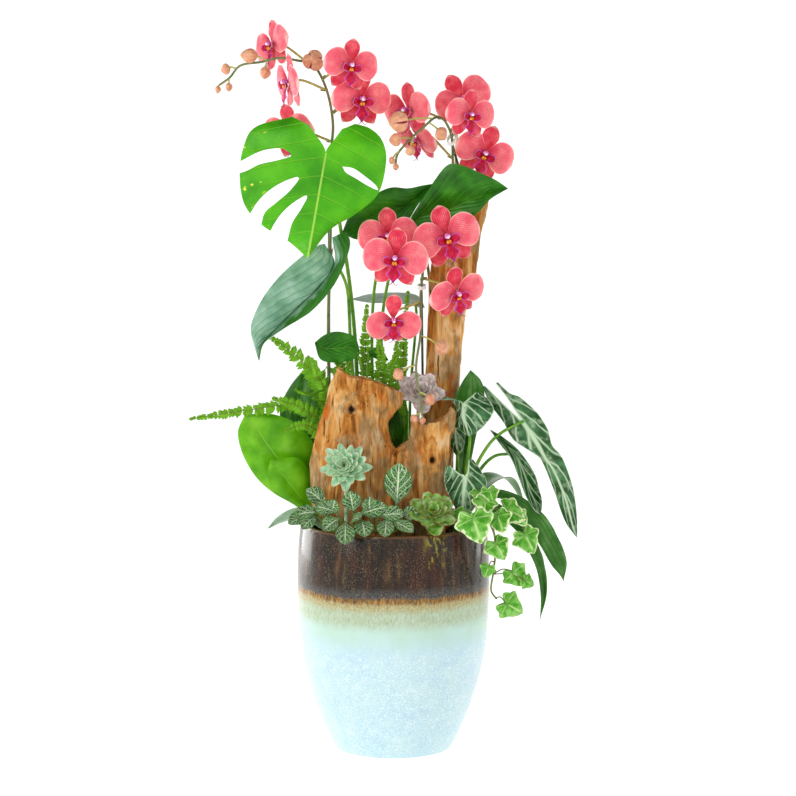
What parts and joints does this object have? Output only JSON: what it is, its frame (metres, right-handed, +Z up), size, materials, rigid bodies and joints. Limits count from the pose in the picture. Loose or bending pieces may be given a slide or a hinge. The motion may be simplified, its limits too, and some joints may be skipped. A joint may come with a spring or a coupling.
{
  "type": "moth orchid in pot",
  "caption": "Moth orchids (Phalaenopsis) with coral flowers above mixed foliage, succulents, ivy and driftwood in a tall round glazed ceramic pot.",
  "frame": {"origin": "centre of the pot's underside, at floor level", "axes": "+Z up through the pot's axis; the front that the flowers face is -Y; +X is to the viewer's right seen from the front"},
  "size_m": [0.5012, 0.3185, 0.9403],
  "materials": {
    "glaze": "gloss",
    "soil": "matte",
    "driftwood": "matte",
    "stem": "satin",
    "stake": "satin",
    "clip": "satin",
    "petal": "satin",
    "lip": "satin",
    "monstera": "satin",
    "silver": "satin",
    "dark_leaf": "satin",
    "pale_leaf": "satin",
    "orchid_leaf": "satin",
    "fern": "matte",
    "blue_rosette": "matte",
    "green_rosette": "satin",
    "purple_rosette": "matte",
    "fittonia": "satin",
    "alocasia": "satin",
    "ivy": "satin"
  },
  "bodies": {
    "root": {"pot": "glaze", "soil": "soil", "driftwood_front": "driftwood", "driftwood_tall": "driftwood", "spike_left": "stem", "stake_left": "stake", "bloom_left_1": "petal", "lip_left_1": "lip", "bloom_left_2": "petal", "lip_left_2": "lip", "bloom_left_3": "petal", "lip_left_3": "lip", "bloom_left_4": "petal", "lip_left_4": "lip", "bloom_left_5": "petal", "lip_left_5": "lip", "spike_right": "stem", "stake_right": "stake", "bloom_right_1": "petal", "lip_right_1": "lip", "bloom_right_2": "petal", "lip_right_2": "lip", "bloom_right_3": "petal", "lip_right_3": "lip", "bloom_right_4": "petal", "lip_right_4": "lip", "bloom_right_5": "petal", "lip_right_5": "lip", "spike_front": "stem", "stake_front": "stake", "bloom_front_1": "petal", "lip_front_1": "lip", "bloom_front_2": "petal", "lip_front_2": "lip", "bloom_front_3": "petal", "lip_front_3": "lip", "bloom_front_4": "petal", "lip_front_4": "lip", "bloom_front_5": "petal", "lip_front_5": "lip", "clip_right": "clip", "clip_front": "clip", "monstera_leaf": "monstera", "silver_leaf": "silver", "broad_leaf_left": "dark_leaf", "broad_leaf_right": "dark_leaf", "round_leaf": "dark_leaf", "pale_leaf": "pale_leaf", "orchid_leaves_left": "orchid_leaf", "orchid_leaves_back": "orchid_leaf", "orchid_leaves_right": "orchid_leaf", "fern_left": "fern", "fern_middle": "fern", "fern_right": "fern", "echeveria_blue": "blue_rosette", "echeveria_green": "green_rosette", "echeveria_purple": "purple_rosette", "fittonia": "fittonia", "alocasia": "alocasia", "ivy": "ivy"}
  },
  "joints": []
}
